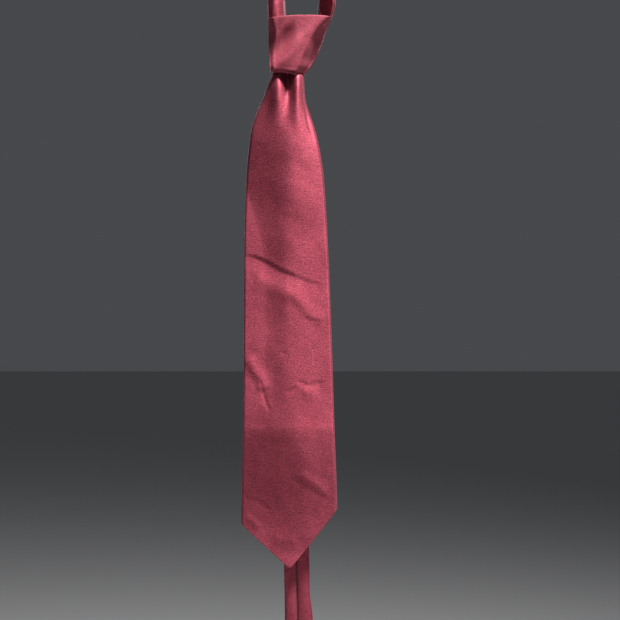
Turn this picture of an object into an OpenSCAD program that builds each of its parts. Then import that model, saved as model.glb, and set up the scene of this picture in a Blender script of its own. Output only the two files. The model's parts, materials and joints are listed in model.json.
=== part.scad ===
// Ready-tied necktie on a zip strap.
// Two narrow cloth tubes joined by a zip run up through a moulded knot and meet as the neck loop.
// A wide folded blade hangs from the knot, in front of the strap's loose tail.
// The origin is the point inside the top of the neck loop where a hook carries the tie.
// +Z is up, the front faces -Y and +X is to the right, as the viewer sees it. Millimetres.

/* [Neck loop] */
// Inside radius of the arch that sits on the hook
arch_r = 20; // [18:0.5:22]
// Width of the band in the neck loop
band_w = 13; // [11:0.5:14]
// Height of the hook point above the knot's top rim
knot_drop = 76; // [72:1:90]
// Height over which each side of the band turns a quarter turn
turn_h = 32; // [24:1:34]

/* [Strap] */
// Width of one cloth tube
tube_w = 10.3; // [10:0.1:10.4]
// Thickness of a cloth tube, front to back
tube_t = 3.2; // [3.2:0.1:3.4]
// Thickness of the tube's cloth
tube_wall = 0.7; // [0.6:0.05:0.8]
// Slit between the two tubes
slit_w = 1; // [1:0.1:1.2]
// Distance from the knot's top rim to the loose end of the strap
strap_l = 548; // [520:1:600]
// Sideways drift of the strap for each millimetre that it goes down
strap_slope = 0.01935; // [0.015:0.0005:0.02]

/* [Zip] */
// Width of one row of zip teeth
teeth_w = 2.6; // [2.4:0.1:2.6]
// Thickness of a row of zip teeth
teeth_t = 1.75; // [1.6:0.05:1.8]
// Length of the slider
slider_l = 10; // [8:0.5:12]

/* [Knot] */
// Height of the knot
knot_h = 47.5; // [46:0.5:49]
// Width of the knot at its top rim
knot_top_w = 53.3; // [53:0.1:55]
// Width of the knot at its lower rim
knot_low_w = 28.3; // [28:0.1:29]
// How far the front of the knot stands in front of the strap's middle plane
knot_front = 14.5; // [14.5:0.1:16]
// How far the back cover stands behind the strap's middle plane
knot_back = 7.2; // [7.2:0.1:8]
// Radius of the knot's crowned front
crown_r = 40; // [39:0.5:44]

/* [Blade] */
// Length from the knot's top rim to the blade's tip
blade_l = 459.2; // [440:1:480]
// Thickness of the folded blade
blade_t = 4; // [4:0.1:4.4]
// Distance from the strap's middle plane to the blade's back
blade_gap = 4.8; // [4.8:0.1:5.5]
// Thickness of the blade's cloth
cloth_t = 0.8; // [0.7:0.05:0.9]
// Height of the keeper loop's band
keeper_h = 15; // [12:1:20]
// Width of the keeper loop
keeper_w = 48; // [40:1:52]

/* [Hidden] */
$fn = 96;

// Clearances: between neighbouring layers, between fitted parts, and round parts that run.
layer_gap = 0.1;
fit_gap = 0.2;
run_gap = 0.35;
funnel_gap = 0.5;
// How far a cut runs on past what it cuts
past = 10;

// The neck loop bends where it enters the knot, and the tail bends below the slider's travel.
bend_gap = 2;
knot_z = -knot_drop;
loop_bend_z = knot_z + 2.5;
tail_bend_z = knot_z - 339;
band_x = arch_r + tube_t / 2;
band_low_z = loop_bend_z + bend_gap;
turn_low_z = -arch_r - turn_h;

// The knot narrows to its lower rim, and leans to the left as it goes down.
knot_low_z = knot_z - knot_h;
knot_left_top = -27.5;
knot_left_low = -25.8;
knot_lean = atan2(knot_top_w / 2 + knot_left_top - knot_low_w / 2 - knot_left_low, knot_h);
wrap_t = 1.4;
under_t = 1;
padding_inset = wrap_t + under_t + 0.3;
former_front = -4.7;
former_back = 5.5;

// The strap's two tubes lie side by side from the junction down.
junction_z = knot_z - 38;
strap_top_z = loop_bend_z - bend_gap;
strap_low_z = tail_bend_z + bend_gap;
tail_top_z = tail_bend_z - bend_gap;
tail_low_z = knot_z - strap_l;
strap_mid_x = -11.65;
strap_mid_z = knot_z - 49;
entry_left = -19.5;
entry_right = 17.7;
back_edge = 3.8;
lining_t = 0.5;
tape_y = 0.2;
tape_t = 0.4;
tape_w = 4.6;
teeth_y = -0.25;
stop_h = 4;
neck_tape_w = 1.9;
neck_teeth_w = 1.6;

// The tail's tubes and zip stop short of its end, inside the cloth binding.
binding_t = 0.7;
binding_h = 12;
tail_in_binding_z = tail_low_z + 1;
bottom_stop_z = tail_low_z + binding_h + 2;

// The slider is fixed inside the knot's former, just below the junction.
slider_z = junction_z - 4;
slider_y = tube_t / 2 + 0.8;
plate_front = -0.8;
plate_t = 0.45;
post_w = 0.6;
rivet_r = 0.6;
rivet_step = 3;

// The blade's own lines are measured from its centre line and from the knot's top rim.
blade_x = -10;
blade_back = -blade_gap;
blade_front = -blade_gap - blade_t;
blade_top = 54;
tip_x = 0.8;
tip_half_w = 5;
tip_rise = 3.5;
corner_left = [-40, 422.5];
corner_right = [40, 409.2];
left_edge = [[-15.5, blade_top], [-22, 70], [-31.1, 94], [-35.2, 132], [-37.3, 187], [-38, 320]];
right_edge = [[38.2, 353], [34.8, 253], [32, 187], [28.7, 132], [21.5, 94], [12.9, 70], [12.4, blade_top]];
flap_top = 365;
interlining_t = 1.2;
tipping_t = 0.5;
seam_w = 0.6;
seam_top = 62;
seam_end = 3;
bar_tack_size = [9, 0.6, 1.2];
keeper_z = knot_z - 265;
keeper_rise = 0.9;
keeper_t = 0.7;
keeper_tab = 4;

// Hand stitches
stitch_size = [2.4, 0.3, 0.6];
stitch_y = 0.15;
seam_pitch = 12;
back_pitch = 6;
overcast_size = [3, 0.6, 0.3];
overcast_pitch = 2.4;

satin = "#96404f";
satin_deep = "#7a2c3b";
lining = "#5c1f2b";
wool = "#e6dfd0";
zip_cloth = "#a8606c";
zip_plastic = "#6d2331";
steel = "#b9bcc0";
plastic = "#202124";
thread = "#8c3a49";

// Where the strap's middle line is at a height
function strap_x(z) = strap_mid_x + (strap_mid_z - z) * strap_slope;

// The knot's sides are straight, so they carry on past its rims.
function knot_left(z) = knot_left_top + (knot_left_low - knot_left_top) * (knot_z - z) / knot_h;
function knot_right(z) = knot_left(z) + knot_top_w + (knot_low_w - knot_top_w) * (knot_z - z) / knot_h;
function knot_quad(inset, top_z, low_left_z, low_right_z) = [
    [knot_left(top_z) + inset, top_z],
    [knot_right(top_z) - inset, top_z],
    [knot_right(low_right_z) - inset, low_right_z],
    [knot_left(low_left_z) + inset, low_left_z]
];

// One side of the strap: side is -1 for left, 1 for right; in and out are distances from its slit edge.
function tube_mid(side, z) = strap_x(z) + side * (slit_w + tube_w) / 2;
function tube_path(side, top_z, low_z) =
    top_z > junction_z
    ? [[side < 0 ? entry_left : entry_right, top_z], [tube_mid(side, junction_z), junction_z],
       [tube_mid(side, low_z), low_z]]
    : [[tube_mid(side, top_z), top_z], [tube_mid(side, low_z), low_z]];
function shifted(path, dx) = [for (p = path) [p[0] + dx, p[1]]];
function reversed(list) = [for (i = [len(list) - 1 : -1 : 0]) list[i]];

// The blade's outline, drawn in by an inset, in the part's own frame
function blade_point(p, inset) =
    [blade_x + p[0] - sign(p[0]) * inset, knot_z - p[1] - (p[1] == blade_top ? inset : 0)];
function tip_point(dx, rise, inset) = [blade_x + tip_x + dx, knot_z - blade_l + rise + 1.4 * inset];
function blade_outline(inset) = concat(
    [for (p = left_edge) blade_point(p, inset)],
    [blade_point(corner_left, inset)],
    [tip_point(-tip_half_w, tip_rise, inset), tip_point(0, 0, inset), tip_point(tip_half_w, tip_rise, inset)],
    [blade_point(corner_right, inset)],
    [for (p = right_edge) blade_point(p, inset)]
);

// Flat shape in the XZ plane, given thickness from y_front to y_back
module slab(points, y_front, y_back) {
    translate([0, y_back, 0]) rotate([90, 0, 0]) linear_extrude(y_back - y_front) polygon(points);
}

// Strip that follows one side of the strap, between two distances from the slit edge
module tube_strip(side, top_z, low_z, near, far, y_front, y_back) {
    path = tube_path(side, top_z, low_z);
    edge = side * (far - tube_w / 2);
    slab(concat(shifted(path, side * (near - tube_w / 2)), reversed(shifted(path, edge))), y_front, y_back);
}

// Cloth tube with an open corner at the back of its slit edge, where the zip's teeth lie
module tube(side, top_z, low_z) {
    half = tube_t / 2;
    tube_strip(side, top_z, low_z, 0, tube_w, -half, -half + tube_wall);
    tube_strip(side, top_z, low_z, tube_w - tube_wall, tube_w, -half, half);
    tube_strip(side, top_z, low_z, back_edge, tube_w, half - tube_wall, half);
}

module tube_lining(side, top_z, low_z) {
    front = -tube_t / 2 + tube_wall + layer_gap / 2;
    near = back_edge + fit_gap;
    far = tube_w - tube_wall - fit_gap;
    tube_strip(side, top_z, low_z, near, far, front, front + lining_t);
}

module zip_tape(side, top_z, low_z) {
    tube_strip(side, top_z, low_z, teeth_w, teeth_w + tape_w, tape_y, tape_y + tape_t);
}

module zip_teeth(side, top_z, low_z) {
    tube_strip(side, top_z, low_z, 0, teeth_w, teeth_y, teeth_y + teeth_t);
}

// One side of the neck loop: straight where it leaves the knot, then a quarter turn, then half the arch
module band(side, width, thick, low_z) {
    translate([side * band_x, 0, (turn_low_z + low_z) / 2])
        cube([width, thick, turn_low_z - low_z], center = true);
    translate([side * band_x, 0, turn_low_z])
        linear_extrude(turn_h, twist = 90 * side, slices = 16, segments = 4)
            square([width, thick], center = true);
    translate([0, 0, -arch_r]) rotate([90, 0, 0]) rotate([0, 0, side < 0 ? 90 : 0])
        rotate_extrude(angle = 90) translate([band_x, 0]) square([thick, width], center = true);
}

module neck_band(side) {
    difference() {
        band(side, band_w, tube_t, band_low_z);
        band(side, band_w - 2 * tube_wall, tube_t - 2 * tube_wall, band_low_z - past);
    }
}

module neck_interlining(side) {
    inset = tube_wall + fit_gap;
    band(side, band_w - 2 * inset, tube_t - 2 * inset, band_low_z);
}

// Zip parts on the inner edge of one side of the neck loop
module neck_strip(side, near, far, y_front, y_back, low_z, top_z) {
    inner = band_x - band_w / 2;
    left = side < 0 ? -inner + near : inner - far;
    translate([left, y_front, low_z]) cube([far - near, y_back - y_front, top_z - low_z]);
}

// The knot's crowned front: a leaning round column that the knot's layers are cut from
module crown(inset) {
    mid_x = knot_left_top + knot_top_w / 2;
    translate([mid_x, crown_r - knot_front, knot_z]) rotate([0, knot_lean, 0])
        cylinder(h = 6 * knot_h, r = crown_r - inset, center = true);
}

module crowned(points, inset, y_front, y_back) {
    intersection() {
        slab(points, y_front, y_back);
        crown(inset);
    }
}

// Short stitches in a line down the back
module stitch_row(count, x, top_z, pitch, y) {
    for (i = [0 : count - 1])
        translate([x, y, top_z - i * pitch]) rotate([0, 20, 0]) cube(stitch_size, center = true);
}

module neck_band_left() {
    color(satin) neck_band(-1);
}

module neck_band_right() {
    color(satin) neck_band(1);
}

module neck_interlining_left() {
    color(wool) neck_interlining(-1);
}

module neck_interlining_right() {
    color(wool) neck_interlining(1);
}

// Overcast stitches across the seam where the two sides meet above the hook
module neck_join_stitches() {
    color(thread) for (i = [-2 : 2])
        translate([0, i * overcast_pitch, tube_t + stitch_y]) cube(overcast_size, center = true);
}

module neck_zip_tape(side) {
    neck_strip(side, 0, neck_tape_w, tape_y, tape_y + tape_t, band_low_z, turn_low_z - stop_h);
}

module neck_zip_teeth(side) {
    far = neck_tape_w + neck_teeth_w;
    neck_strip(side, neck_tape_w, far, teeth_y, teeth_y + teeth_t, band_low_z, turn_low_z - stop_h);
}

module neck_zip_tape_left() {
    color(zip_cloth) neck_zip_tape(-1);
}

module neck_zip_tape_right() {
    color(zip_cloth) neck_zip_tape(1);
}

module neck_zip_teeth_left() {
    color(zip_plastic) neck_zip_teeth(-1);
}

module neck_zip_teeth_right() {
    color(zip_plastic) neck_zip_teeth(1);
}

// Small metal clips that close off the top of each row of teeth
module zip_top_stops() {
    near = neck_tape_w - fit_gap;
    far = neck_tape_w + neck_teeth_w + fit_gap;
    front = teeth_y - 0.25;
    back = teeth_y + teeth_t + fit_gap;
    color(steel) for (side = [-1, 1])
        neck_strip(side, near, far, front, back, turn_low_z - stop_h, turn_low_z);
}

module strap_tube_left() {
    color(satin) tube(-1, strap_top_z, strap_low_z);
}

module strap_tube_right() {
    color(satin) tube(1, strap_top_z, strap_low_z);
}

module strap_interlining_left() {
    color(wool) tube_lining(-1, strap_top_z, strap_low_z);
}

module strap_interlining_right() {
    color(wool) tube_lining(1, strap_top_z, strap_low_z);
}

module strap_zip_tape_left() {
    color(zip_cloth) zip_tape(-1, strap_top_z, strap_low_z);
}

module strap_zip_tape_right() {
    color(zip_cloth) zip_tape(1, strap_top_z, strap_low_z);
}

module strap_zip_teeth_left() {
    color(zip_plastic) zip_teeth(-1, strap_top_z, strap_low_z);
}

module strap_zip_teeth_right() {
    color(zip_plastic) zip_teeth(1, strap_top_z, strap_low_z);
}

module tail_tube_left() {
    color(satin) tube(-1, tail_top_z, tail_in_binding_z);
}

module tail_tube_right() {
    color(satin) tube(1, tail_top_z, tail_in_binding_z);
}

module tail_interlining_left() {
    color(wool) tube_lining(-1, tail_top_z, tail_in_binding_z);
}

module tail_interlining_right() {
    color(wool) tube_lining(1, tail_top_z, tail_in_binding_z);
}

module tail_zip_tape_left() {
    color(zip_cloth) zip_tape(-1, tail_top_z, tail_in_binding_z);
}

module tail_zip_tape_right() {
    color(zip_cloth) zip_tape(1, tail_top_z, tail_in_binding_z);
}

module tail_zip_teeth_left() {
    color(zip_plastic) zip_teeth(-1, tail_top_z, bottom_stop_z + stop_h);
}

module tail_zip_teeth_right() {
    color(zip_plastic) zip_teeth(1, tail_top_z, bottom_stop_z + stop_h);
}

// Metal box that ends both rows of teeth just above the binding
module zip_bottom_stop() {
    half_w = teeth_w + slit_w / 2 - fit_gap;
    color(steel) translate([strap_x(bottom_stop_z) - half_w, teeth_y, bottom_stop_z])
        cube([2 * half_w, teeth_t + fit_gap, stop_h]);
}

// Folded cloth that binds the two tubes' ends together
module tail_end_binding() {
    half_w = tube_w + slit_w / 2 + fit_gap;
    half_t = tube_t / 2 + layer_gap / 2;
    mid_x = strap_x(tail_low_z + binding_h / 2);
    color(satin_deep) translate([mid_x, 0, 0]) difference() {
        translate([-half_w - binding_t, -half_t - binding_t, tail_low_z])
            cube([2 * (half_w + binding_t), 2 * (half_t + binding_t), binding_h]);
        translate([-half_w, -half_t, tail_in_binding_z]) cube([2 * half_w, 2 * half_t, binding_h]);
    }
}

// Outer turn of cloth round the knot, open at the back
module knot_wrap_front() {
    color(satin) difference() {
        crowned(knot_quad(0, knot_z, knot_low_z, knot_low_z), 0, -knot_front, former_back);
        crowned(knot_quad(wrap_t, knot_z + past, knot_low_z - past, knot_low_z - past),
            wrap_t, -knot_front, former_back + 1);
    }
}

// Inner turn of cloth, which shows below the outer one at the lower right
module knot_wrap_under() {
    outer = wrap_t + layer_gap;
    inner = outer + under_t;
    back = former_front - 0.3;
    color(satin_deep) difference() {
        crowned(knot_quad(outer, knot_z - 1, knot_low_z + 1, knot_low_z - 1.5), outer, -knot_front, back);
        crowned(knot_quad(inner, knot_z + past, knot_low_z - past, knot_low_z - past),
            inner, -knot_front, former_front);
    }
}

// Folded interlining that fills the front of the knot
module knot_padding() {
    low_z = knot_low_z + 2;
    color(wool) crowned(knot_quad(padding_inset, knot_z - 2, low_z, low_z),
        padding_inset, -knot_front, blade_front - fit_gap);
}

// Gathered top of the blade's cloth, held between the padding and the former
module knot_throat_gather() {
    low_z = knot_low_z + 0.5;
    color(satin_deep) crowned(knot_quad(padding_inset, knot_z - 14, low_z, low_z),
        padding_inset, blade_front, former_front - layer_gap);
}

// Where the slider's two rivets stand
module at_rivets() {
    for (dz = [-rivet_step, rivet_step])
        translate([strap_x(slider_z), slider_y, slider_z + dz]) rotate([-90, 0, 0]) children();
}

// Moulded plastic core with the funnel that the strap runs through
module knot_former() {
    low_z = knot_low_z + 0.5;
    funnel = [
        [entry_left - tube_w / 2 - run_gap, knot_z + 1], [entry_right + tube_w / 2 + run_gap, knot_z + 1],
        [tube_mid(1, junction_z) + tube_w / 2 + 2 * run_gap, junction_z],
        [tube_mid(1, low_z) + tube_w / 2 + run_gap, low_z - 1],
        [tube_mid(-1, low_z) - tube_w / 2 - run_gap, low_z - 1],
        [tube_mid(-1, junction_z) - tube_w / 2 - run_gap, junction_z]
    ];
    color(plastic) difference() {
        crowned(knot_quad(wrap_t + layer_gap, knot_z - 0.5, low_z, low_z),
            wrap_t + fit_gap, former_front, former_back);
        slab(funnel, -tube_t / 2 - funnel_gap, tube_t / 2 + funnel_gap);
        translate([strap_x(slider_z), tube_t / 2, slider_z])
            cube([2 * back_edge + slit_w + 3 * fit_gap, 2 * (slider_y - tube_t / 2 + layer_gap),
                slider_l + 3 * fit_gap], center = true);
        at_rivets() translate([0, 0, -past / 4]) cylinder(h = past, r = rivet_r + layer_gap / 2);
    }
}

// Cloth panel closing the back of the knot
module knot_back_cover() {
    color(satin) slab(knot_quad(0.6, knot_z - 0.5, knot_low_z + 0.5, knot_low_z + 0.5),
        former_back + layer_gap, knot_back);
}

// Hand stitches that close the back cover's two side edges
module knot_back_stitches() {
    color(thread) for (i = [0 : 6]) {
        z = knot_z - 5 - i * back_pitch;
        for (x = [knot_left(z) + 3, knot_right(z) - 3])
            translate([x, knot_back + stitch_y, z]) rotate([0, 30, 0]) cube(stitch_size, center = true);
    }
}

// Two plates on a thin post: the rows of teeth run between them, one on each side of the post.
module zip_slider() {
    half_w = back_edge + slit_w / 2 - post_w / 2;
    back_y = teeth_y + teeth_t + layer_gap;
    color(steel) translate([strap_x(slider_z), 0, slider_z]) rotate([0, -atan(strap_slope), 0]) {
        translate([-half_w, plate_front, -slider_l / 2]) cube([2 * half_w, plate_t, slider_l]);
        translate([-half_w, back_y, -slider_l / 2]) cube([2 * half_w, slider_y - back_y, slider_l]);
        translate([-post_w / 2, plate_front, -slider_l / 4])
            cube([post_w, slider_y - plate_front, slider_l / 2]);
    }
}

// Two rivets that hold the slider's back plate to the former
module slider_rivets() {
    color(steel) at_rivets() cylinder(h = former_back - slider_y, r = rivet_r);
}

// The opening at the back of the blade's point, where the folded edges part below the seam
function flap_opening(grow) = [
    [blade_x + tip_x, knot_z - flap_top + 2 * grow], [blade_x + tip_x + 27 + grow, knot_z - 407],
    [blade_x + tip_x, knot_z - blade_l + 14 - grow], [blade_x + tip_x - 28 - grow, knot_z - 417]
];

// One cut of cloth folded round to the back, where its edges meet at a seam and part at the point
module blade_shell() {
    color(satin) difference() {
        slab(blade_outline(0), blade_front, blade_back);
        slab(blade_outline(cloth_t), blade_front + cloth_t, blade_back - cloth_t);
        translate([blade_x + tip_x - seam_w / 2, blade_back - cloth_t - 0.1, knot_z - flap_top - seam_end])
            cube([seam_w, cloth_t + 0.2, flap_top]);
        slab(flap_opening(0), blade_back - cloth_t - 0.1, blade_back + 0.1);
    }
}

module blade_interlining() {
    front = blade_front + cloth_t + layer_gap;
    color(wool) slab(blade_outline(cloth_t + 0.5), front, front + interlining_t);
}

// Lining that shows at the back of the blade's point
module blade_tipping() {
    back = blade_back - cloth_t - layer_gap;
    color(lining) slab(flap_opening(4), back - tipping_t, back);
}

module blade_seam_stitches() {
    color(thread) stitch_row(25, blade_x + tip_x, knot_z - seam_top, seam_pitch, blade_back + stitch_y);
}

// Bar of close stitches where the seam ends
module blade_bar_tack() {
    color(thread) translate([blade_x + tip_x, blade_back + bar_tack_size[1] / 2, knot_z - flap_top + 2])
        cube(bar_tack_size, center = true);
}

// Band across the blade's back, sewn down at both ends
module keeper_loop() {
    color(satin) translate([blade_x + tip_x - keeper_w / 2, blade_back, keeper_z - keeper_h / 2]) {
        translate([0, keeper_rise, 0]) cube([keeper_w, keeper_t, keeper_h]);
        for (x = [0, keeper_w - keeper_tab]) translate([x, 0, 0]) cube([keeper_tab, keeper_rise, keeper_h]);
    }
}

neck_band_left();
neck_band_right();
neck_interlining_left();
neck_interlining_right();
neck_join_stitches();
neck_zip_tape_left();
neck_zip_tape_right();
neck_zip_teeth_left();
neck_zip_teeth_right();
zip_top_stops();
strap_tube_left();
strap_tube_right();
strap_interlining_left();
strap_interlining_right();
strap_zip_tape_left();
strap_zip_tape_right();
strap_zip_teeth_left();
strap_zip_teeth_right();
tail_tube_left();
tail_tube_right();
tail_interlining_left();
tail_interlining_right();
tail_zip_tape_left();
tail_zip_tape_right();
tail_zip_teeth_left();
tail_zip_teeth_right();
zip_bottom_stop();
tail_end_binding();
knot_wrap_front();
knot_wrap_under();
knot_padding();
knot_throat_gather();
knot_former();
knot_back_cover();
knot_back_stitches();
zip_slider();
slider_rivets();
blade_shell();
blade_interlining();
blade_tipping();
blade_seam_stitches();
blade_bar_tack();
keeper_loop();
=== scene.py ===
"""Ready-tied satin necktie on a zip strap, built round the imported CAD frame.

Most shapes are worked out in millimetres as (x, y, d): x is sideways from the blade's centre line, y is the
depth (the front faces -y) and d is the distance down from the knot's top rim. place() turns them into metres
in the frame's own axes.
"""
import json
import math
import bpy
import numpy as np
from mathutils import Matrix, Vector


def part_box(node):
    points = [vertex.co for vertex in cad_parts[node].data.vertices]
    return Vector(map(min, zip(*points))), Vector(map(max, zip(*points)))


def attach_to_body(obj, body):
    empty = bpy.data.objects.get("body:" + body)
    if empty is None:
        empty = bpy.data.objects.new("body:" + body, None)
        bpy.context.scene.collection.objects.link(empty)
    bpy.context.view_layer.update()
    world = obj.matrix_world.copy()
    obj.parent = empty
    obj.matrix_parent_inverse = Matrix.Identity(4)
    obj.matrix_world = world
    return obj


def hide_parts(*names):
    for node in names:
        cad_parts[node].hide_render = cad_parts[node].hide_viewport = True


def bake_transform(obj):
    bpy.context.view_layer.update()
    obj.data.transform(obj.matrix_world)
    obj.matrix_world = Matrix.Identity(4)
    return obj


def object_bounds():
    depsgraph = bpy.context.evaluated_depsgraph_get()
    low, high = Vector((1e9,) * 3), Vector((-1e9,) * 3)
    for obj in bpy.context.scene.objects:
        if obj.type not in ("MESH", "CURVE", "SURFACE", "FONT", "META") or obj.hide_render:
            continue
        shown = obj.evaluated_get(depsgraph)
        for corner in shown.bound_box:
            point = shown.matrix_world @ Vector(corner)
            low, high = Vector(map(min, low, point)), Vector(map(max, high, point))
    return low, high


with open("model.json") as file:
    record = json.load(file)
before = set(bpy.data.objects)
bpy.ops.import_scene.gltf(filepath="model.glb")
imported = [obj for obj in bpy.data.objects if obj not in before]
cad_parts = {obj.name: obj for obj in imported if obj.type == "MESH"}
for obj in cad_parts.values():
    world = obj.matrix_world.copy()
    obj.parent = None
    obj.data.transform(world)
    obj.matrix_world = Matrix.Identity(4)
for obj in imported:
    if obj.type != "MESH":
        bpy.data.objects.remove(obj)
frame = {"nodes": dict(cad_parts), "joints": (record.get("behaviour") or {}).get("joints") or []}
cad_low, cad_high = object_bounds()

# ---------------------------------------------------------------- places taken from the frame
MM = 0.001
LEFT, RIGHT = -1, 1
JOINTS = {joint["name"]: joint for joint in frame["joints"]}


def box_mm(node):
    """A CAD node's lowest and highest corners, in millimetres."""
    return [np.array(corner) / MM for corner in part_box(node)]


KNOT_BOX = box_mm("knot_wrap_front")
BLADE_BOX = box_mm("blade_shell")
BINDING_BOX = box_mm("tail_end_binding")
KEEPER_BOX = box_mm("keeper_loop")
KNOT_Z = KNOT_BOX[1][2]
BLADE_X = (BLADE_BOX[0][0] + BLADE_BOX[1][0]) / 2
TIP_D = KNOT_Z - BLADE_BOX[0][2]
TAIL_D = KNOT_Z - BINDING_BOX[0][2]
BINDING_H = BINDING_BOX[1][2] - BINDING_BOX[0][2]
TILT_D = KNOT_Z - JOINTS["loop_tilt"]["pos_m"][2] / MM
THROAT_D = KNOT_Z - JOINTS["blade_swing"]["pos_m"][2] / MM
TAIL_BEND_D = KNOT_Z - JOINTS["tail_swing"]["pos_m"][2] / MM
STRAP_AXIS = JOINTS["knot_slide"]["axis"]
STRAP_SLOPE = -STRAP_AXIS[0] / STRAP_AXIS[2]


def place(x, y, d):
    """Metres in the frame's axes, from millimetres as the note at the top describes them."""
    x, y, d = np.broadcast_arrays(x, y, d)
    return np.stack([(x + BLADE_X) * MM, y * MM, (KNOT_Z - d) * MM], axis=-1).astype(float)


def place_grid(grid):
    """The same for an array whose last axis is (x, y, d)."""
    return place(grid[..., 0], grid[..., 1], grid[..., 2])


def strap_x(d):
    """The strap's middle line, off the blade's centre line."""
    binding_x = (BINDING_BOX[0][0] + BINDING_BOX[1][0]) / 2 - BLADE_X
    return binding_x - (TAIL_D - BINDING_H / 2 - d) * STRAP_SLOPE


# ---------------------------------------------------------------- small maths
def spline(xs, ys, slopes, x):
    """Cubic curve through points with given slopes, level outside them."""
    x = np.clip(np.asarray(x, float), xs[0], xs[-1])
    i = np.clip(np.searchsorted(xs, x, side="right") - 1, 0, len(xs) - 2)
    step = xs[i + 1] - xs[i]
    t = (x - xs[i]) / step
    return ((2 * t**3 - 3 * t**2 + 1) * ys[i] + (t**3 - 2 * t**2 + t) * step * slopes[i]
            + (3 * t**2 - 2 * t**3) * ys[i + 1] + (t**3 - t**2) * step * slopes[i + 1])


def curve(*points):
    """A smooth curve through (place, value) points that never swings past them."""
    xs, ys = np.array(points, float).T
    rise = np.diff(ys) / np.diff(xs)
    slopes = np.zeros(len(xs))
    same_way = rise[:-1] * rise[1:] > 0
    safe = np.where(same_way, rise[:-1] + rise[1:], 1)
    slopes[1:-1] = np.where(same_way, 2 * rise[:-1] * rise[1:] / safe, 0)
    return lambda x: spline(xs, ys, slopes, x)


def smooth(low, high, x):
    """0 below low, 1 above high, and smooth between."""
    t = np.clip((np.asarray(x, float) - low) / (high - low), 0, 1)
    return t * t * (3 - 2 * t)


def bump(x, width):
    return np.exp(-(np.asarray(x, float) / width) ** 2)


def soft_noise(x, y, cell, seed):
    """Smooth random waves from -1 to 1, about one every cell, the same for the same seed."""
    rng = np.random.default_rng(seed)
    total = 0
    for _ in range(7):
        angle, phase = rng.uniform(0, 2 * np.pi, 2)
        size = cell * rng.uniform(0.7, 1.6)
        total = total + np.sin(2 * np.pi * (x * np.cos(angle) + y * np.sin(angle)) / size + phase)
    return total / 4


# ---------------------------------------------------------------- mesh helpers
WEAVE_UNIT = 10
ROD_END = 0.55


def grid_faces(rows, cols, closed=False):
    wrap = cols if closed else cols - 1
    r, c = np.meshgrid(np.arange(rows - 1), np.arange(wrap), indexing="ij")
    n = (c + 1) % cols
    return np.stack([r * cols + c, r * cols + n, (r + 1) * cols + n, (r + 1) * cols + c], -1).reshape(-1, 4)


def tube_faces(rows, sides, flip=False):
    """A closed tube's faces: its wall and its two ends, all turned the same way."""
    faces = [list(face) for face in grid_faces(rows, sides, closed=True)]
    faces.append(list(range(sides))[::-1])
    faces.append(list(range((rows - 1) * sides, rows * sides)))
    return [face[::-1] for face in faces] if flip else faces


def arc_lengths(points):
    """Distances in weave units along the rows' and the columns' own middle lines, for the weave's UVs."""
    across = np.linalg.norm(np.diff(points, axis=1), axis=2).mean(0)
    along = np.linalg.norm(np.diff(points, axis=0), axis=2).mean(1)
    u = np.concatenate([[0], np.cumsum(across)])
    v = np.concatenate([[0], np.cumsum(along)])
    return u / (WEAVE_UNIT * MM), v / (WEAVE_UNIT * MM)


def mesh_object(name, points, faces, uv, material):
    """A smooth mesh object from points in metres. uv holds one pair for each point."""
    mesh = bpy.data.meshes.new(name)
    mesh.from_pydata([tuple(p) for p in points], [], [tuple(int(i) for i in f) for f in faces])
    layer = mesh.uv_layers.new(name="weave")
    corners = np.empty(len(mesh.loops), np.int32)
    mesh.loops.foreach_get("vertex_index", corners)
    layer.data.foreach_set("uv", np.asarray(uv, np.float32)[corners].ravel())
    mesh.shade_smooth()
    obj = bpy.data.objects.new(name, mesh)
    bpy.context.collection.objects.link(obj)
    obj.data.materials.append(material)
    return obj


def freeze(obj):
    """Applies the object's modifiers to its mesh."""
    bpy.context.view_layer.update()
    graph = bpy.context.evaluated_depsgraph_get()
    mesh = bpy.data.meshes.new_from_object(obj.evaluated_get(graph))
    obj.modifiers.clear()
    obj.data = mesh
    return obj


def thicken(obj, thickness):
    """Gives a cloth its thickness, behind the side that its faces look to."""
    solid = obj.modifiers.new("thickness", "SOLIDIFY")
    solid.thickness = thickness * MM
    solid.offset = -1
    solid.use_even_offset = True
    solid.thickness_clamp = 1
    return freeze(obj)


def cloth_grid(name, points, thickness, material):
    """A sheet of cloth from a grid of points in metres."""
    rows, cols = points.shape[:2]
    u, v = arc_lengths(points)
    uv = np.stack(np.meshgrid(u, v), -1).reshape(-1, 2)
    obj = mesh_object(name, points.reshape(-1, 3), grid_faces(rows, cols), uv, material)
    return thicken(obj, thickness)


def join(name, parts, material):
    """One object from several (points, faces) parts."""
    points, faces, start = [], [], 0
    for p, f in parts:
        points.append(p)
        faces += [[i + start for i in face] for face in f]
        start += len(p)
    points = np.concatenate(points)
    uv = np.stack([points[:, 0], points[:, 2]], -1) / (WEAVE_UNIT * MM)
    return mesh_object(name, points, faces, uv, material)


def rod(line, radius, sides=6):
    """A closed round rod along a line of points, as (points, faces)."""
    line = np.asarray(line, float)
    ahead = np.gradient(line, axis=0)
    ahead /= np.linalg.norm(ahead, axis=1)[:, None]
    side = np.cross(ahead, [0, 1, 0.02])
    side /= np.linalg.norm(side, axis=1)[:, None]
    up = np.cross(side, ahead)
    turn = np.linspace(0, 2 * np.pi, sides, endpoint=False)
    ring = side[:, None] * np.cos(turn)[None, :, None] + up[:, None] * np.sin(turn)[None, :, None]
    taper = np.ones(len(line))
    taper[[0, -1]] = ROD_END
    points = (line[:, None] + ring * (radius * taper)[:, None, None]).reshape(-1, 3)
    return points, tube_faces(len(line), sides, flip=True)


def squarish(wave, power):
    """A sine or cosine drawn out towards a square, the more so the smaller the power."""
    return np.sign(wave) * np.abs(wave) ** power


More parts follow.
